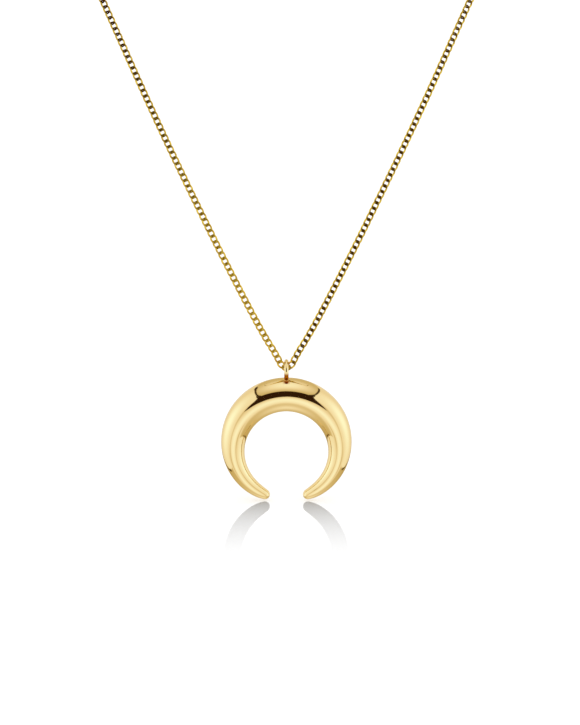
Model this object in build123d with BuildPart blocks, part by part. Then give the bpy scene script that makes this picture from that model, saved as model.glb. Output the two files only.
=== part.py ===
"""Crescent horn pendant on a fine chain, in millimetres.

The origin is the middle of the clasp, at the nape of the neck. X runs to the viewer's right, Y away
from the viewer, so that the front of the chest is at -Y, and Z is up. The pendant hangs straight down.
"""

import math
import os
from collections import namedtuple

from build123d import *

# Crescent: a round bar bent to most of a circle, thick at the top and tapering into two horns
crescent_radius = 10.66
crescent_girth = 6.79
horn_sweep = 161.6
tip_rounding = 0.95

# Wire ring soldered upright on the crescent's top, square to the crescent
ring_outer_diameter = 4.5
ring_wire = 0.86
ring_sunk = 0.75
ring_play = 0.08

# Solder foot that fills the corner between the ring's wire and the crescent
solder_spread = 0.6
solder_run = 0.4
solder_height = 0.3
solder_root = 0.6

# Chain, as the round tube that its links fill
chain_width = 1.25
chain_end_gap = 0.15

# Jump ring at each end of the chain
end_ring_outer_diameter = 4.0
end_ring_wire = 0.6
end_ring_gap = 0.1

# Clasp: a flat closed hook with an eye
clasp_length = 10.0
clasp_thickness = 1.6
clasp_rim = 0.8
clasp_eye_diameter = 1.8
clasp_hook_width = 4.6
clasp_opening_length = 3.8
clasp_opening_width = 2.6
clasp_lever_diameter = 1.5
clasp_lever_reach = 0.5
clasp_lever_thickness = 0.9
clasp_edge = 0.3

# Where the bar's section stands along a horn, and how thick it is there
Section = namedtuple("Section", "sweep_share girth_share")
horn_sections = [
    Section(sweep_share=0.125, girth_share=0.990),
    Section(sweep_share=0.25, girth_share=0.933),
    Section(sweep_share=0.375, girth_share=0.857),
    Section(sweep_share=0.5, girth_share=0.729),
    Section(sweep_share=0.625, girth_share=0.631),
    Section(sweep_share=0.75, girth_share=0.537),
    Section(sweep_share=0.875, girth_share=0.422),
    Section(sweep_share=0.94, girth_share=0.347),
    Section(sweep_share=1.0, girth_share=0.218),
]

# Fold of the chain over the ring's wire: the route turns up at this share of the fold's radius
fold_radius = ring_wire / 2 + ring_play + chain_width / 2
fold_share = 0.69
fold_y = -109.0
fold_z = -121.5

# Ends of the chain, at the jump rings on the clasp
end_ring_mid_radius = (end_ring_outer_diameter - end_ring_wire) / 2
end_ring_inner_radius = end_ring_outer_diameter / 2 - end_ring_wire
rim_half_chord = math.sqrt(end_ring_inner_radius**2 - (clasp_thickness / 2) ** 2)
end_ring_x = clasp_length / 2 - clasp_rim + rim_half_chord - end_ring_gap
chain_end_x = end_ring_x + end_ring_outer_diameter / 2 + chain_end_gap

# Share of a corner's shorter run that its arc takes up
arc_share = 0.45

# Right half of the chain's route, from the fold up the strand, round the neck and to the clasp
right_route = [
    (fold_share * fold_radius, fold_y, fold_z),
    (1.95, -109.0, -119.0),
    (4.44, -108.7, -115.0),
    (8.2, -108.0, -108.0),
    (14.84, -106.0, -95.1),
    (25.93, -101.5, -72.5),
    (36.6, -94.0, -49.6),
    (46.5, -77.0, -31.5),
    (54.0, -51.5, -14.5),
    (48.0, -24.0, -3.5),
    (28.5, -5.5, 0.0),
    (chain_end_x, 0.0, 0.0),
]
route = [(-x, y, z) for x, y, z in reversed(right_route)] + right_route

# Heights on the pendant, from the chain's fold down
ring_mid_radius = (ring_outer_diameter - ring_wire) / 2
ring_hole_radius = ring_outer_diameter / 2 - ring_wire
ring_z = fold_z - (ring_hole_radius - ring_play - chain_width / 2)
crescent_top_z = ring_z - ring_outer_diameter / 2 + ring_sunk
crescent_z = crescent_top_z - crescent_girth / 2 - crescent_radius


def bar_plane(angle):
    """Plane square to the crescent's bar, at an angle from the top of the crescent."""
    turn = math.radians(angle)
    across = crescent_radius * math.sin(turn)
    up = crescent_radius * math.cos(turn)
    return Plane(
        origin=(across, fold_y, crescent_z + up),
        x_dir=(0, 1, 0),
        z_dir=(math.cos(turn), 0, -math.sin(turn)),
    )


def corner_radius(before, corner, after):
    """Radius of the arc at a corner of the route, as large as its shorter run allows."""
    run_in = Vector(*corner) - Vector(*before)
    run_out = Vector(*after) - Vector(*corner)
    half_turn = math.radians(run_in.get_angle(run_out)) / 2
    return arc_share * min(run_in.length, run_out.length) / math.tan(half_turn)


# Crescent with its ring

top_section = Section(sweep_share=0.0, girth_share=1.0)
left_sections = [Section(-s.sweep_share, s.girth_share) for s in reversed(horn_sections)]
bar_sections = left_sections + [top_section] + horn_sections
tip_radius = horn_sections[-1].girth_share * crescent_girth / 2

with BuildPart() as crescent_pendant:
    for section in bar_sections:
        with BuildSketch(bar_plane(section.sweep_share * horn_sweep)):
            Circle(section.girth_share * crescent_girth / 2)
    loft()
    tip_faces = crescent_pendant.faces().filter_by(GeomType.PLANE)
    fillet(tip_faces.edges(), radius=tip_rounding * tip_radius)

    with Locations(Location((0, fold_y, ring_z), (0, 90, 0))):
        Torus(major_radius=ring_mid_radius, minor_radius=ring_wire / 2)

    foot_reach = math.sqrt(ring_mid_radius**2 - (ring_z - crescent_top_z) ** 2) + ring_wire / 2
    with BuildSketch(Plane(origin=(0, fold_y, crescent_top_z - solder_root))):
        Ellipse(ring_wire / 2 + solder_spread, foot_reach + solder_run)
    with BuildSketch(Plane(origin=(0, fold_y, crescent_top_z + solder_height))):
        Ellipse(ring_wire / 2, foot_reach)
    loft()
crescent_pendant.part.label = "crescent_pendant"

# Chain

route_radii = [
    corner_radius(before, corner, after)
    for before, corner, after in zip(route, route[1:], route[2:])
]

with BuildPart() as chain:
    with BuildLine() as chain_line:
        FilletPolyline(*route, radius=route_radii)
    with BuildSketch(Plane(origin=chain_line.line @ 0, z_dir=chain_line.line % 0)):
        Circle(chain_width / 2)
    sweep()
chain.part.label = "chain"

# Jump rings at the chain's ends

with BuildPart() as end_ring_left:
    with Locations((-end_ring_x, 0, 0)):
        Torus(major_radius=end_ring_mid_radius, minor_radius=end_ring_wire / 2)
end_ring_left.part.label = "end_ring_left"

with BuildPart() as end_ring_right:
    with Locations((end_ring_x, 0, 0)):
        Torus(major_radius=end_ring_mid_radius, minor_radius=end_ring_wire / 2)
end_ring_right.part.label = "end_ring_right"

# Clasp

clasp_eye_x = clasp_length / 2 - clasp_rim - clasp_eye_diameter / 2
clasp_eye_end_radius = clasp_rim + clasp_eye_diameter / 2
clasp_hook_x = clasp_length / 2 - clasp_hook_width / 2
clasp_opening_x = clasp_length / 2 - clasp_rim - clasp_opening_length / 2
clasp_lever_x = (clasp_opening_x - clasp_opening_length / 2 - clasp_eye_x) / 2
clasp_lever_z = clasp_hook_width / 2 + clasp_lever_reach - clasp_lever_diameter / 2

with BuildPart() as clasp:
    with BuildSketch(Plane.XZ):
        with Locations((clasp_hook_x, 0)):
            Circle(clasp_hook_width / 2)
        with Locations((-clasp_eye_x, 0)):
            Circle(clasp_eye_end_radius)
        make_hull()
        with Locations((clasp_opening_x, 0)):
            SlotOverall(clasp_opening_length, clasp_opening_width, mode=Mode.SUBTRACT)
        with Locations((-clasp_eye_x, 0)):
            Circle(clasp_eye_diameter / 2, mode=Mode.SUBTRACT)
    extrude(amount=clasp_thickness / 2, both=True)
    flat_faces = clasp.faces().filter_by(Axis.Y)
    fillet(flat_faces.edges(), radius=clasp_edge)
    with BuildSketch(Plane.XZ):
        with Locations((clasp_lever_x, clasp_lever_z)):
            Circle(clasp_lever_diameter / 2)
    extrude(amount=clasp_lever_thickness / 2, both=True)
clasp.part.label = "clasp"

# Files, one for each piece

os.makedirs("parts", exist_ok=True)
export_step(crescent_pendant.part, "parts/crescent_pendant.step")
export_step(chain.part, "parts/chain.step")
export_step(end_ring_left.part, "parts/end_ring_left.step")
export_step(end_ring_right.part, "parts/end_ring_right.step")
export_step(clasp.part, "parts/clasp.step")

# Lengths and radii, to check the chain's route

tube_length = chain_line.wire().length
tube_section = math.pi * (chain_width / 2) ** 2
print("tube length", round(tube_length, 2), "loop", round(tube_length + 2 * chain_end_x, 2))
print("tube volume", round(chain.part.volume, 3), "section x length", round(tube_section * tube_length, 3))
print("radii", [round(radius, 2) for radius in route_radii])
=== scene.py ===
"""Looks of the crescent horn pendant on its fine curb chain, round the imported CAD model, in metres."""

import math

import bpy
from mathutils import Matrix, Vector


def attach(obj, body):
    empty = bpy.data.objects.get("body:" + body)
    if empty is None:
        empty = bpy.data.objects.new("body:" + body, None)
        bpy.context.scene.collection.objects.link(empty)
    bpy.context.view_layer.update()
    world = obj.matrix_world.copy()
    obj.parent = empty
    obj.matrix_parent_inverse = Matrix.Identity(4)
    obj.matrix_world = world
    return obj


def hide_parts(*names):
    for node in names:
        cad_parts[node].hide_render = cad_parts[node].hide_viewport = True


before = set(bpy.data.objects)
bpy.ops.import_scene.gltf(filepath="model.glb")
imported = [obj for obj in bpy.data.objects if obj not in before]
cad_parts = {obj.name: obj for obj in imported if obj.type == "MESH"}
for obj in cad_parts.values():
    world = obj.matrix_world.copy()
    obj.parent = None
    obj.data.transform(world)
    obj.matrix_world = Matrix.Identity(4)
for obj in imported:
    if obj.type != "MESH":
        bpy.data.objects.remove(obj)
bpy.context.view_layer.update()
MM = 0.001


# Chain: about 350 curb links of fine gold-plated wire, closed one in the next. Both sides of each oval link
# climb from under one neighbour to over the other, so that the run lies flat. It passes through the
# pendant's ring, and its first and last links are a size larger, to take the clasp rings' thicker wire.

link_sizes = {
    "Link Length": 1.61 * MM,
    "Link Width": 1.08 * MM,
    "Wire Thickness": 0.37 * MM,
    "Fullness": 0.7,
    "Lift": 0.17 * MM,
    "Climb Run": 0.44 * MM,
    "Wire Squareness": 0.7,
    "Pitch": 1.24 * MM,
    "End Link Scale": 1.3,
    "Loose Play": math.radians(4),
    "Seed": 7,
}
link_corners = 16
wire_sides = 6
sharp_link_edge = 1.2
# Where along a link's oval the painted shade of the crevices between links begins, and where it is full
crevice_from = 0.5
crevice_full = 0.87
chain_route = [
    (0.85, -109.0, -121.56),
    (2.02, -109.0, -119.0),
    (4.55, -108.7, -115.0),
    (8.31, -108.0, -108.0),
    (14.97, -106.0, -95.1),
    (26.1, -101.5, -72.5),
    (36.76, -94.0, -49.6),
    (46.5, -77.0, -31.5),
    (54.0, -51.5, -14.5),
    (48.0, -24.0, -3.5),
    (28.5, -5.5, 0.0),
    (7.399, 0.0, 0.0),
]
steps_a_run = 64
neck_middle_y = -52.0 * MM
flat_to_viewer_below = -55.0 * MM
flat_to_neck_above = -12.0 * MM
chain_lean = 0.05

# Where along X the painted shade in the links' crevices is taken down, and by how much
left_less_shade_from = -38 * MM
left_less_shade_full = -4 * MM
left_shade_taken = 0.8
fold_left = -1 * MM
fold_right = 3 * MM
right_shade_taken = 0.1
right_tightening = 1.3

# Spread of the gold's tone and haze, as parts of their noise, and what haze does to the roughness
tone_from = 0.35
tone_to = 0.65
haze_from = 0.3
haze_to = 0.75
haze_scale = 0.4
shiniest = 0.7
haze_dulls = 0.6
mark_stretch = 0.08


class Value:
    """A number that a node tree works out, so that a formula reads as plain arithmetic."""

    def __init__(self, tree, socket):
        self.tree = tree
        self.socket = socket

    def math(self, operation, *others):
        node = self.tree.nodes.new("ShaderNodeMath")
        node.operation = operation
        for place, value in enumerate((self, *others)):
            fill(self.tree, node.inputs[place], value)
        return Value(self.tree, node.outputs[0])

    def __add__(self, other):
        return self.math("ADD", other)

    def __sub__(self, other):
        return self.math("SUBTRACT", other)

    def __mul__(self, other):
        return self.math("MULTIPLY", other)

    def __truediv__(self, other):
        return self.math("DIVIDE", other)

    def __pow__(self, other):
        return self.math("POWER", other)

    def __neg__(self):
        return self * -1.0

    def __abs__(self):
        return self.math("ABSOLUTE")

    def at_least(self, low):
        return self.math("MAXIMUM", low)

    def at_most(self, high):
        return self.math("MINIMUM", high)

    def near(self, middle, spread):
        """1 at the middle, falling smoothly on both sides."""
        share = (self - middle) / spread
        return (share * share * -1.0).math("EXPONENT")

    def rise(self, start, end):
        """0 up to start, 1 from end on, and smooth between."""
        node = self.tree.nodes.new("ShaderNodeMapRange")
        node.interpolation_type = "SMOOTHSTEP"
        fill(self.tree, node.inputs["Value"], self)
        fill(self.tree, node.inputs["From Min"], start)
        fill(self.tree, node.inputs["From Max"], end)
        return Value(self.tree, node.outputs[0])

    def fall(self, start, end):
        """1 up to start, 0 from end on, and smooth between."""
        return self.rise(start, end) * -1.0 + 1.0


def fill(tree, socket, value):
    """Links a socket to a worked out value or another socket, or sets it to a plain one."""
    if isinstance(value, Value):
        value = value.socket
    if isinstance(value, bpy.types.NodeSocket):
        tree.links.new(value, socket)
    else:
        socket.default_value = value


def add(tree, kind, inputs=None, output=0, **options):
    """Adds a node with its options and inputs, and gives back one of its outputs."""
    node = tree.nodes.new(kind)
    for option, value in options.items():
        setattr(node, option, value)
    for name, value in (inputs or {}).items():
        fill(tree, node.inputs[name], value)
    return node.outputs[output] if node.outputs else None


def parts_of(tree, vector):
    """X, Y and Z of a vector, to calculate with."""
    node = tree.nodes.new("ShaderNodeSeparateXYZ")
    tree.links.new(vector, node.inputs[0])
    return [Value(tree, socket) for socket in node.outputs]


def smooth_below(tree, mesh, sharp_edge):
    """Shades a mesh smooth, apart from its edges that turn by more than sharp_edge."""
    smooth = add(tree, "GeometryNodeSetShadeSmooth", {"Geometry": mesh})
    bend = Value(tree, add(tree, "GeometryNodeInputMeshEdgeAngle", output="Unsigned Angle"))
    sharp = bend.math("GREATER_THAN", sharp_edge)
    return add(
        tree,
        "GeometryNodeSetShadeSmooth",
        {"Geometry": smooth, "Selection": sharp, "Shade Smooth": False},
        domain="EDGE",
    )


def new_tree(name, sizes):
    """Starts a geometry tree with a named input for each size, and gives back it and its inputs."""
    tree = bpy.data.node_groups.new(name, "GeometryNodeTree")
    tree.interface.new_socket("Geometry", in_out="INPUT", socket_type="NodeSocketGeometry")
    for label, value in sizes.items():
        kind = "NodeSocketInt" if isinstance(value, int) else "NodeSocketFloat"
        tree.interface.new_socket(label, in_out="INPUT", socket_type=kind)
    tree.interface.new_socket("Material", in_out="INPUT", socket_type="NodeSocketMaterial")
    tree.interface.new_socket("Geometry", in_out="OUTPUT", socket_type="NodeSocketGeometry")
    entry = tree.nodes.new("NodeGroupInput")
    inputs = {socket.name: socket for socket in entry.outputs if socket.name}
    values = {label: Value(tree, inputs[label]) for label in sizes}
    return tree, inputs, values


def close_tree(tree, geometry):
    """Ends a geometry tree with that geometry."""
    leave = tree.nodes.new("NodeGroupOutput")
    tree.links.new(geometry, leave.inputs[0])


def make_piece(name, start_mesh, tree, sizes, material):
    """Runs a geometry tree on a mesh and keeps the result as a plain mesh object."""
    maker = bpy.data.objects.new(name + "_maker", start_mesh)
    bpy.context.scene.collection.objects.link(maker)
    modifier = maker.modifiers.new(tree.name, "NODES")
    modifier.node_group = tree
    settings = dict(sizes, Material=material)
    for item in tree.interface.items_tree:
        if item.in_out == "INPUT" and item.name in settings:
            modifier[item.identifier] = settings[item.name]
    settled = maker.evaluated_get(bpy.context.evaluated_depsgraph_get())
    mesh = bpy.data.meshes.new_from_object(settled)
    mesh.name = name
    bpy.data.objects.remove(maker)
    piece = bpy.data.objects.new(name, mesh)
    bpy.context.scene.collection.objects.link(piece)
    return piece


def with_painted_shade(tree, clean, shade_colour, how_dark):
    """Mixes the metal's colour with the colour of a painted shade."""
    first_colour, second_colour, mixed_colour = 6, 7, 2
    mix = tree.nodes.new("ShaderNodeMix")
    mix.data_type = "RGBA"
    fill(tree, mix.inputs["Factor"], how_dark)
    fill(tree, mix.inputs[first_colour], clean)
    mix.inputs[second_colour].default_value = (*shade_colour, 1)
    return mix.outputs[mixed_colour]


def gold(name, deep, bright, glance, roughness, tone_size, mark_size, mark_depth, painted_shade):
    """Polished gold: its tone drifts a little, and fine polishing marks stretch round each piece.

    deep and bright are its colour seen straight on, and glance is its colour along the edges.
    painted_shade gives where shade is painted into the metal's colour, and the dark colour painted there.
    """
    material = bpy.data.materials.new(name)
    material.use_nodes = True
    tree = material.node_tree
    tree.nodes.clear()
    place = add(tree, "ShaderNodeTexCoord", output="Object")
    tone = add(tree, "ShaderNodeTexNoise", {"Vector": place, "Scale": 1 / tone_size, "Detail": 3.0})
    colour = add(tree, "ShaderNodeValToRGB", {"Fac": tone})
    ramp = colour.node.color_ramp
    ramp.elements[0].position = tone_from
    ramp.elements[0].color = (*deep, 1)
    ramp.elements[1].position = tone_to
    ramp.elements[1].color = (*bright, 1)
    # Painted shade, mixed into both the facing and the glancing colour of the metal
    where, shade_colour = painted_shade
    how_dark = where(tree, place)
    facing = with_painted_shade(tree, colour, shade_colour, how_dark)
    glancing = with_painted_shade(tree, (*glance, 1), shade_colour, how_dark)
    haze = add(
        tree,
        "ShaderNodeTexNoise",
        {"Vector": place, "Scale": haze_scale / tone_size, "Detail": 5.0},
    )
    hazy = Value(tree, haze).rise(haze_from, haze_to)
    dull = hazy * (roughness * haze_dulls) + roughness * shiniest
    stretched = add(tree, "ShaderNodeMapping", {"Vector": place, "Scale": (1.0, 1.0, mark_stretch)})
    marks = add(tree, "ShaderNodeTexNoise", {"Vector": stretched, "Scale": 1 / mark_size, "Detail": 4.0})
    bump = add(tree, "ShaderNodeBump", {"Height": marks, "Distance": mark_depth, "Strength": 1.0})
    shader = add(
        tree,
        "ShaderNodeBsdfPrincipled",
        {
            "Base Color": facing,
            "Specular Tint": glancing,
            "Metallic": 1.0,
            "Roughness": dull,
            "Normal": bump,
        },
    )
    add(tree, "ShaderNodeOutputMaterial", {"Surface": shader})
    return material


def squared(turn, square):
    """Cosine and sine of a turn, pushed out towards a square as the exponent falls from 1."""
    along = turn.math("COSINE")
    across = turn.math("SINE")
    return along.math("SIGN") * abs(along) ** square, across.math("SIGN") * abs(across) ** square


def link_shape(tree, values):
    """One curb link: an oval whose sides each climb from under one neighbour to over the other."""
    index = Value(tree, add(tree, "GeometryNodeInputIndex"))
    ring = add(tree, "GeometryNodeCurvePrimitiveCircle", {"Resolution": link_corners})
    turn = (index + 0.5) * (2 * math.pi / link_corners)
    along = turn.math("COSINE") * values["Link Length"] / 2.0
    side = turn.math("SINE").math("SIGN")
    across = side * abs(turn.math("SINE")) ** values["Fullness"] * values["Link Width"] / 2.0
    climb = (along / values["Climb Run"]).at_most(1.0).at_least(-1.0)
    place = add(
        tree,
        "ShaderNodeCombineXYZ",
        {"X": along, "Y": across, "Z": climb * side * values["Lift"]},
    )
    bent = add(tree, "GeometryNodeSetPosition", {"Geometry": ring, "Position": place})
    # Where a link lies on its neighbours: the mask of the chain's painted shade
    touching = abs(turn.math("COSINE")).rise(crevice_from, crevice_full)
    oval = add(
        tree,
        "GeometryNodeStoreNamedAttribute",
        {"Geometry": bent, "Name": "touching", "Value": touching},
        data_type="FLOAT",
        domain="POINT",
    )
    upright = add(tree, "GeometryNodeSetCurveNormal", {"Curve": oval}, mode="Z_UP")
    round_wire = add(tree, "GeometryNodeCurvePrimitiveCircle", {"Resolution": wire_sides})
    out, up = squared(index * (2 * math.pi / wire_sides), values["Wire Squareness"])
    half = values["Wire Thickness"] / 2.0
    rim = add(tree, "ShaderNodeCombineXYZ", {"X": out * half, "Y": up * half})
    wire = add(tree, "GeometryNodeSetPosition", {"Geometry": round_wire, "Position": rim})
    link = add(tree, "GeometryNodeCurveToMesh", {"Curve": upright, "Profile Curve": wire})
    return smooth_below(tree, link, sharp_link_edge)


def chain_tree(sizes):
    """Lays curb links at an even pitch along a route, each flat to the viewer or to the neck."""
    tree, inputs, values = new_tree("curb chain", sizes)
    link = link_shape(tree, values)
    route = add(tree, "GeometryNodeMeshToCurve", {"Mesh": inputs["Geometry"]})
    length = Value(tree, add(tree, "GeometryNodeCurveLength", {"Curve": route}))
    runs = (length / values["Pitch"]).math("ROUND")
    stops = add(tree, "GeometryNodeResampleCurve", {"Curve": route, "Count": runs + 1.0})

    x, y, z = parts_of(tree, add(tree, "GeometryNodeInputPosition"))
    to_neck = z.rise(flat_to_viewer_below, flat_to_neck_above)
    face = add(
        tree,
        "ShaderNodeCombineXYZ",
        {
            "X": x * to_neck,
            "Y": (y - neck_middle_y) * to_neck + (to_neck - 1.0) * abs(neck_middle_y),
            "Z": (to_neck * -1.0 + 1.0) * chain_lean * abs(neck_middle_y),
        },
    )
    tangent = add(tree, "GeometryNodeInputTangent")
    lengthwise = add(tree, "FunctionNodeAlignRotationToVector", {"Vector": tangent}, axis="X")
    facing = add(
        tree,
        "FunctionNodeAlignRotationToVector",
        {"Rotation": lengthwise, "Vector": face},
        axis="Z",
        pivot_axis="X",
    )
    play = add(
        tree,
        "FunctionNodeRandomValue",
        {"Min": -values["Loose Play"], "Max": values["Loose Play"], "Seed": values["Seed"]},
        output="Value",
        data_type="FLOAT",
    )
    roll = add(tree, "ShaderNodeCombineXYZ", {"X": play})
    turned = add(
        tree,
        "FunctionNodeRotateRotation",
        {"Rotation": facing, "Rotate By": roll},
        rotation_space="LOCAL",
    )
    index = Value(tree, add(tree, "GeometryNodeInputIndex"))
    at_end = index.math("LESS_THAN", 0.5) + index.math("GREATER_THAN", runs - 0.5)
    scale = at_end * (values["End Link Scale"] - 1.0) + 1.0
    laid = add(
        tree,
        "GeometryNodeInstanceOnPoints",
        {"Points": stops, "Instance": link, "Rotation": turned, "Scale": scale},
    )
    solid = add(tree, "GeometryNodeRealizeInstances", {"Geometry": laid})
    done = add(tree, "GeometryNodeSetMaterial", {"Geometry": solid, "Material": inputs["Material"]})
    close_tree(tree, done)
    return tree


def route_mesh(name, points):
    """Reads a smooth route through control points as a line of edges."""
    curve = bpy.data.curves.new(name, "CURVE")
    curve.dimensions = "3D"
    curve.resolution_u = steps_a_run
    spline = curve.splines.new("NURBS")
    spline.points.add(len(points) - 1)
    for point, place in zip(spline.points, points):
        point.co = (*(Vector(place) * MM), 1)
    spline.order_u = 3
    spline.use_endpoint_u = True
    holder = bpy.data.objects.new(name, curve)
    bpy.context.scene.collection.objects.link(holder)
    settled = holder.evaluated_get(bpy.context.evaluated_depsgraph_get())
    mesh = bpy.data.meshes.new_from_object(settled)
    bpy.data.objects.remove(holder)
    return mesh


def where_links_touch(tree, place):
    """Painted shade: 1 where a link lies on its neighbour, 0 on open wire, less towards the fold on the
    left strand and a little less on the right strand.
    """
    touching = Value(tree, add(tree, "ShaderNodeAttribute", output="Fac", attribute_name="touching"))
    across, _, _ = parts_of(tree, place)
    on_left = across.fall(fold_left, fold_right)
    on_right = across.rise(fold_left, fold_right)
    shade_taken = across.rise(left_less_shade_from, left_less_shade_full) * on_left * left_shade_taken + on_right * right_shade_taken
    return touching ** (on_right * right_tightening + 1.0) * (shade_taken * -1.0 + 1.0)


chain_gold = gold(
    "chain_gold",
    deep=(0.58, 0.355, 0.02),
    bright=(0.98, 0.71, 0.10),
    glance=(0.95, 0.75, 0.27),
    roughness=0.08,
    tone_size=0.6 * MM,
    mark_size=0.08 * MM,
    mark_depth=0.0005 * MM,
    # Painted shade: the chain's gold is painted nearly black in the crevices where links lie on each other
    painted_shade=(where_links_touch, (0.055, 0.006, 0.0)),
)
left_route = [(-x, y, z) for x, y, z in reversed(chain_route)]
chain = make_piece(
    "curb_chain",
    route_mesh("chain_route", left_route + chain_route),
    chain_tree(link_sizes),
    link_sizes,
    chain_gold,
)
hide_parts("chain")
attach(chain, "necklace")


# Jump rings and clasp: two plain rings of round wire join the chain's ends to a flat hook with an eye and
# a thumb lever, at the nape. They are plated with the chain and have the same finish.

for name in ("end_ring_left", "end_ring_right", "clasp"):
    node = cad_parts[name]
    node.data.materials.clear()
    node.data.materials.append(chain_gold)


# Crescent with its ring: a round bar bent to most of a circle, thick at the top, with two horns that taper
# to blunt tips. A plain wire ring is soldered upright on its top, and the whole is polished as one piece.

crescent_sizes = {
    "Bend Radius": 10.66 * MM,
    "Girth": 6.79 * MM,
    "Sweep": math.radians(161.6),
    "Tip Radius": 0.703 * MM,
    "Middle Y": -109.0 * MM,
    "Middle Z": -137.74 * MM,
    "Ring Radius": 1.82 * MM,
    "Ring Wire": 0.86 * MM,
    "Ring Z": -122.185 * MM,
    "Solder Top": 0.45 * MM,
    "Solder Root": 0.6 * MM,
    "Solder Spread": 0.4 * MM,
    "Solder Reach": 0.80 * MM,
}

# Share of the way to the tip, and share of the girth there
horn_taper = [
    (0.0, 1.0),
    (0.125, 0.988),
    (0.25, 0.936),
    (0.375, 0.851),
    (0.5, 0.740),
    (0.625, 0.636),
    (0.75, 0.533),
    (0.875, 0.425),
    (0.94, 0.352),
    (1.0, 0.218),
]
bar_steps = 420
bar_sides = 120
ring_steps = 96
ring_sides = 32
solder_steps = 14
solder_sides = 48
solder_hollow = 2.2
solder_top_share = 0.49
sharp_bar_edge = 0.4
never_zero = 1e-7


def crescent_tree(sizes):
    """Bends and tapers the bar, stands the ring on it and fills the corner between them with solder."""
    tree, inputs, values = new_tree("crescent", sizes)
    index = Value(tree, add(tree, "GeometryNodeInputIndex"))

    share = ((index / (bar_steps / 2) - 1.0) * (math.pi / 2)).math("SINE")
    angle = share * values["Sweep"]
    bar_place = add(
        tree,
        "ShaderNodeCombineXYZ",
        {
            "X": values["Bend Radius"] * angle.math("SINE"),
            "Y": values["Middle Y"],
            "Z": values["Bend Radius"] * angle.math("COSINE") + values["Middle Z"],
        },
    )
    taper = add(tree, "ShaderNodeFloatCurve", {"Value": abs(share)})
    curve = taper.node.mapping.curves[0]
    for where, how_thick in horn_taper[1:-1]:
        curve.points.new(where, how_thick)
    curve.points[0].location = horn_taper[0]
    curve.points[-1].location = horn_taper[-1]
    taper.node.mapping.update()
    to_tip = (abs(share) * -1.0 + 1.0) * values["Sweep"] * values["Bend Radius"]
    tip = values["Tip Radius"]
    inside = (tip - to_tip.at_most(tip)).at_least(0.0)
    blunt = tip - (tip * tip - inside * inside).at_least(0.0).math("SQRT")
    thickness = Value(tree, taper) * values["Girth"] / 2.0 - blunt
    line = add(tree, "GeometryNodeCurvePrimitiveLine")
    steps = add(tree, "GeometryNodeResampleCurve", {"Curve": line, "Count": bar_steps + 1})
    bent = add(tree, "GeometryNodeSetPosition", {"Geometry": steps, "Position": bar_place})
    round_bar = add(tree, "GeometryNodeCurvePrimitiveCircle", {"Resolution": bar_sides, "Radius": 1.0})
    bar = add(
        tree,
        "GeometryNodeCurveToMesh",
        {"Curve": bent, "Profile Curve": round_bar, "Scale": thickness, "Fill Caps": True},
    )

    turn = index * (2 * math.pi / ring_steps)
    ring_place = add(
        tree,
        "ShaderNodeCombineXYZ",
        {
            "Y": turn.math("COSINE") * values["Ring Radius"] + values["Middle Y"],
            "Z": turn.math("SINE") * values["Ring Radius"] + values["Ring Z"],
        },
    )
    circle = add(tree, "GeometryNodeCurvePrimitiveCircle", {"Resolution": ring_steps})
    stood = add(tree, "GeometryNodeSetPosition", {"Geometry": circle, "Position": ring_place})
    wire = add(
        tree,
        "GeometryNodeCurvePrimitiveCircle",
        {"Resolution": ring_sides, "Radius": values["Ring Wire"] / 2.0},
    )
    ring = add(tree, "GeometryNodeCurveToMesh", {"Curve": stood, "Profile Curve": wire})

    crescent_top = values["Middle Z"] + values["Bend Radius"] + values["Girth"] / 2.0
    solder_height = values["Solder Top"] + values["Solder Root"]
    height = index / solder_steps * solder_height - values["Solder Root"] + crescent_top
    solder_place = add(tree, "ShaderNodeCombineXYZ", {"Y": values["Middle Y"], "Z": height})
    down = ((height - crescent_top) * -1.0 + values["Solder Top"]) / solder_height
    half_width = down ** solder_hollow * values["Solder Spread"] + values["Ring Wire"] * solder_top_share
    upright = add(tree, "GeometryNodeResampleCurve", {"Curve": line, "Count": solder_steps + 1})
    raised = add(tree, "GeometryNodeSetPosition", {"Geometry": upright, "Position": solder_place})
    round_foot = add(
        tree,
        "GeometryNodeCurvePrimitiveCircle",
        {"Resolution": solder_sides, "Radius": 1.0},
    )
    foot = add(
        tree,
        "GeometryNodeCurveToMesh",
        {"Curve": raised, "Profile Curve": round_foot, "Scale": half_width, "Fill Caps": True},
    )
    x, y, _ = parts_of(tree, add(tree, "GeometryNodeInputPosition"))
    forward = y - values["Middle Y"]
    from_middle = (x * x + forward * forward).math("SQRT").at_least(never_zero)
    stretch = add(
        tree,
        "ShaderNodeCombineXYZ",
        {"Y": forward / from_middle * values["Solder Reach"]},
    )
    oval_foot = add(tree, "GeometryNodeSetPosition", {"Geometry": foot, "Offset": stretch})

    joined = tree.nodes.new("GeometryNodeMeshBoolean")
    joined.operation = "UNION"
    joined.solver = "MANIFOLD"
    for part in (bar, ring, oval_foot):
        tree.links.new(part, joined.inputs["Mesh 2"])
    creased = smooth_below(tree, joined.outputs["Mesh"], sharp_bar_edge)
    done = add(tree, "GeometryNodeSetMaterial", {"Geometry": creased, "Material": inputs["Material"]})
    close_tree(tree, done)
    return tree


# Painted shade, dark and deep orange, in the corner where the ring's wire stands on the bar
foot_reach = 2.15 * MM
foot_z = -123.4 * MM
foot_painted_shade = (0.42, 0.13, 0.005)
shade_full_within = 0.6 * MM
shade_ends_at = 1.25 * MM
shade_half_width = 0.5 * MM
shade_half_end = 0.85 * MM


def near_foot(tree, place):
    """Painted shade: 1 at the foot of the ring's wire, in the corner where it stands on the bar, and 0 a
    millimetre away.
    """
    x, y, z = parts_of(tree, place)
    out = abs(y - crescent_sizes["Middle Y"]) - foot_reach
    up = z - foot_z
    gap = (out * out + up * up).math("SQRT")
    return gap.fall(shade_full_within, shade_ends_at) * abs(x).fall(shade_half_width, shade_half_end)


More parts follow.
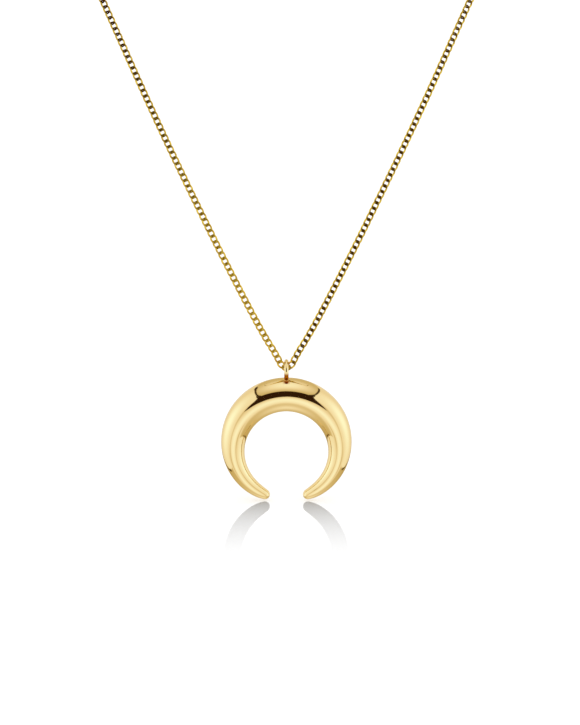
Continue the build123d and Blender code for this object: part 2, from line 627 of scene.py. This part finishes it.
pendant_gold = gold(
    "pendant_gold",
    deep=(0.95, 0.74, 0.36),
    bright=(0.97, 0.76, 0.38),
    glance=(1.0, 1.0, 1.0),
    roughness=0.045,
    tone_size=14 * MM,
    mark_size=0.25 * MM,
    mark_depth=0.0004 * MM,
    # The ring's foot gets its painted shade
    painted_shade=(near_foot, foot_painted_shade),
)
crescent = make_piece(
    "crescent",
    bpy.data.meshes.new("crescent_start"),
    crescent_tree(crescent_sizes),
    crescent_sizes,
    pendant_gold,
)
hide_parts("crescent_pendant")
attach(crescent, "pendant")


# Studio: a white table top just under the horns' tips, graded greyer below them as painted shade that
# deepens the pendant's shadow there and fades it towards the viewer, and one low light from behind, which
# lays the pendant's shadow towards the viewer. The gold mirrors neither.

table_top_z = -148.75 * MM
table_half = 4.0
table_grey = 0.45
grey_from_y = -112.0 * MM
grey_fades_over = 78 * MM
grey_curve = 2.5
low_light_elevation = math.radians(12)
low_light_spread = math.radians(1.5)
low_light_share = 0.95

table_mesh = bpy.data.meshes.new("table_top")
corners = [(x * table_half, y * table_half, table_top_z) for x, y in ((-1, -1), (1, -1), (1, 1), (-1, 1))]
table_mesh.from_pydata(corners, [], [(0, 1, 2, 3)])
table_paint = bpy.data.materials.new("table_white")
table_paint.use_nodes = True
table_tree = table_paint.node_tree
table_tree.nodes.clear()
_, table_y, _ = parts_of(table_tree, add(table_tree, "ShaderNodeTexCoord", output="Object"))
# Painted shade: the table is greyest just in front of the horns' tips and whitens towards the viewer
towards_viewer = (table_y * -1.0 + grey_from_y) / grey_fades_over
grey_left = (towards_viewer * -1.0 + 1.0).at_least(0.0).at_most(1.0) ** grey_curve
table_shade = add(table_tree, "ShaderNodeCombineXYZ")
for socket in table_shade.node.inputs:
    fill(table_tree, socket, grey_left * -table_grey + 1.0)
table_shader = add(table_tree, "ShaderNodeBsdfDiffuse", {"Color": table_shade})
add(table_tree, "ShaderNodeOutputMaterial", {"Surface": table_shader})
table_mesh.materials.append(table_paint)
table_top = bpy.data.objects.new("table_top", table_mesh)
table_top.visible_glossy = False
bpy.context.scene.collection.objects.link(table_top)

low_light = bpy.data.lights.new("low_light", "SUN")
low_light.angle = low_light_spread
low_light.energy = low_light_share * math.pi / math.sin(low_light_elevation)
low_light_stand = bpy.data.objects.new("low_light", low_light)
low_light_stand.rotation_euler = (low_light_elevation - math.pi / 2, 0, 0)
low_light_stand.visible_glossy = False
bpy.context.scene.collection.objects.link(low_light_stand)


# Light tent: what the gold mirrors. White walls stand on four sides, the top glows, the dark window that
# the viewer looks through is in front, and thin dark seams run where the walls meet the top and bottom.

# Brightness in the tent, and the colour of the light there
tent_tones = [
    (0.00, (0.030, 0.012, 0.004)),
    (0.55, (0.55, 0.45, 0.24)),
    (0.66, (0.66, 0.57, 0.36)),
    (0.76, (0.76, 0.70, 0.57)),
    (0.85, (0.85, 0.81, 0.73)),
    (0.92, (0.92, 0.91, 0.88)),
    (1.10, (1.01, 1.12, 1.24)),
    (1.20, (1.05, 1.25, 1.47)),
]
tent_strength = 1.5
tone_range = 1.20
outside_strength = 1.08

wall_tone = 0.86
wall_glow_adds = 0.27
wall_front_adds = 0.10
front_glow_adds = 0.16
beside_window_takes = 0.17
under_window_takes = 0.20
low_corner_takes = 0.13
top_tone = 0.64
top_glow_adds = 0.42
bottom_tone = 0.585
bottom_front_adds = 0.30
bottom_back_takes = 0.08
bottom_glow_adds = 0.16
straight_down_adds = 0.20
top_seam_takes = 0.97
bottom_seam_takes = 0.93

top_seam_at = 0.78
bottom_seam_at = 1.25
bottom_seam_half = 0.055
window_half = 0.485
window_widens = 0.22
crisp = 0.012
soft = 0.02
softer = 0.03
never_flat = 0.001


def tent_light(tree):
    """How bright the tent is in each direction, from 0 to tone_range."""
    sideways, backward, up = parts_of(tree, add(tree, "ShaderNodeTexCoord", output="Generated"))
    at_left = sideways.math("LESS_THAN", 0.0)
    side = abs(sideways)
    front = -backward
    side_run = side.at_least(never_flat)
    front_run = front.at_least(never_flat)
    up_run = up.at_least(never_flat)
    down_run = (-up).at_least(never_flat)

    # Walls
    front_side = side / front_run
    front_up = up / front_run
    wall_glow = (up / side_run).near(0.15, 0.6) * (front / side_run).near(0.1, 0.62)
    wall_front = (front / side_run).rise(-0.8, 0.6)
    front_glow = front_side.near(0.0, 0.33) * front_up.near(-0.5, 0.35)
    beside_window = front_side.near(0.53, 0.11) * front_up.rise(-1.2, -0.8) * front_up.fall(0.1, 0.5)
    under_window = front_up.near(-0.02, 0.22) * front_side.near(0.0, 0.5)
    low_corner = front_side.near(0.68, 0.36) * front_up.near(-0.68, 0.25)
    wall = wall_glow * wall_glow_adds + wall_front * wall_front_adds + front_glow * front_glow_adds
    wall = wall - beside_window * beside_window_takes + wall_tone
    wall = wall - under_window * under_window_takes - low_corner * low_corner_takes

    # Top, up to its seam with the side walls
    top_side = side / up_run
    top_front = front / up_run
    above = up.rise(0.0, soft)
    top_edge = at_left * (top_front.at_least(-0.5) * 0.09 - 0.035) + top_seam_at
    top = top_side.near(0.0, 0.58) * top_front.near(0.2, 0.75) * top_glow_adds + top_tone
    in_top = (top_side - top_edge).fall(-soft, soft) * above

    # Bottom, up to its seam with the side walls
    bottom_side = side / down_run
    bottom_front = front / down_run
    below = up.fall(-soft, 0.0)
    bottom_edge = bottom_front * -0.12 - at_left * 0.06 + bottom_seam_at
    off_centre = (bottom_side * bottom_side + bottom_front * bottom_front).math("SQRT")
    bottom_glow = bottom_side.near(0.0, 0.85) * bottom_glow_adds
    bottom_glow = bottom_glow + off_centre.near(0.0, 0.35) * straight_down_adds
    bottom_slope = bottom_front.rise(0.5, 1.3) * bottom_front_adds
    bottom_slope = bottom_slope - bottom_front.fall(-1.0, -0.1) * bottom_back_takes
    bottom = bottom_slope + bottom_glow + bottom_tone
    in_bottom = (bottom_side - bottom_edge).fall(-softer, softer) * bottom_front.fall(0.85, 1.25) * below

    # Window, wider towards its top, with a foot that rises to both sides
    window_side = abs(sideways / front_run + 0.025)
    half_window = front_up.rise(0.3, 1.0) * window_widens + window_half
    window_foot = front_up - front_side * front_side * 0.36 + at_left * 0.012 + 0.055
    window = window_foot.rise(-crisp, crisp) * (window_side - half_window).fall(-crisp, crisp)
    window = window * top_front.rise(1.40, 1.56) * front.rise(0.0, soft)

    # Seams
    left_swell = at_left * top_front.near(-0.55, 0.2) * 0.03
    seam_half = top_front.rise(0.7, 1.5) * 0.08 + left_swell + 0.035
    top_seam = (abs(top_side - top_edge) - seam_half).fall(-crisp, crisp) * above
    top_seam = top_seam * top_front.rise(-1.2, -0.8) * top_front.fall(1.9, 2.3)
    bottom_seam = (abs(bottom_side - bottom_edge) - bottom_seam_half).fall(-0.025, 0.025)
    bottom_seam = bottom_seam * bottom_front.fall(-0.1, 0.5) * below

    lit = wall + (top - wall) * in_top
    lit = lit + (bottom - lit) * in_bottom
    lit = lit * (window * -1.0 + 1.0) * (top_seam * -top_seam_takes + 1.0)
    return lit * (bottom_seam * -bottom_seam_takes + 1.0)


world = bpy.data.worlds.new("light_tent")
world.use_nodes = True
world.cycles.sampling_method = "NONE"
tent = world.node_tree
tent.nodes.clear()
tones = add(tent, "ShaderNodeValToRGB", {"Fac": tent_light(tent) / tone_range})
tone_ramp = tones.node.color_ramp
for brightness, _ in tent_tones[1:-1]:
    tone_ramp.elements.new(brightness / tone_range)
for element, (brightness, colour) in zip(tone_ramp.elements, tent_tones):
    element.position = brightness / tone_range
    element.color = (*(part / tent_strength for part in colour), 1)
walls = add(tent, "ShaderNodeBackground", {"Color": tones, "Strength": tent_strength})
white = add(tent, "ShaderNodeBackground", {"Color": (1, 1, 1, 1), "Strength": outside_strength})
mirrored = add(tent, "ShaderNodeLightPath", output="Is Glossy Ray")
seen = tent.nodes.new("ShaderNodeMixShader")
tent.links.new(mirrored, seen.inputs[0])
tent.links.new(white, seen.inputs[1])
tent.links.new(walls, seen.inputs[2])
add(tent, "ShaderNodeOutputWorld", {"Surface": seen.outputs[0]})
bpy.context.scene.world = world
bpy.context.scene.view_settings.view_transform = "Standard"


# Camera: straight in front and a little above, as in the photograph, far off with a long lens.

camera_elevation = math.radians(12)
camera_distance = 3.0
view_height = 145 * MM
aim = Vector((0.72, -105.5, -121.3)) * MM
sensor = 36.0

lens = bpy.data.cameras.new("camera")
lens.sensor_width = sensor
lens.lens = sensor * camera_distance / view_height
lens.clip_end = 20.0
camera = bpy.data.objects.new("camera", lens)
towards = Vector((0, -math.cos(camera_elevation), math.sin(camera_elevation)))
camera.location = aim + towards * camera_distance
camera.rotation_euler = (math.pi / 2 - camera_elevation, 0, 0)
bpy.context.scene.collection.objects.link(camera)
bpy.context.scene.camera = camera
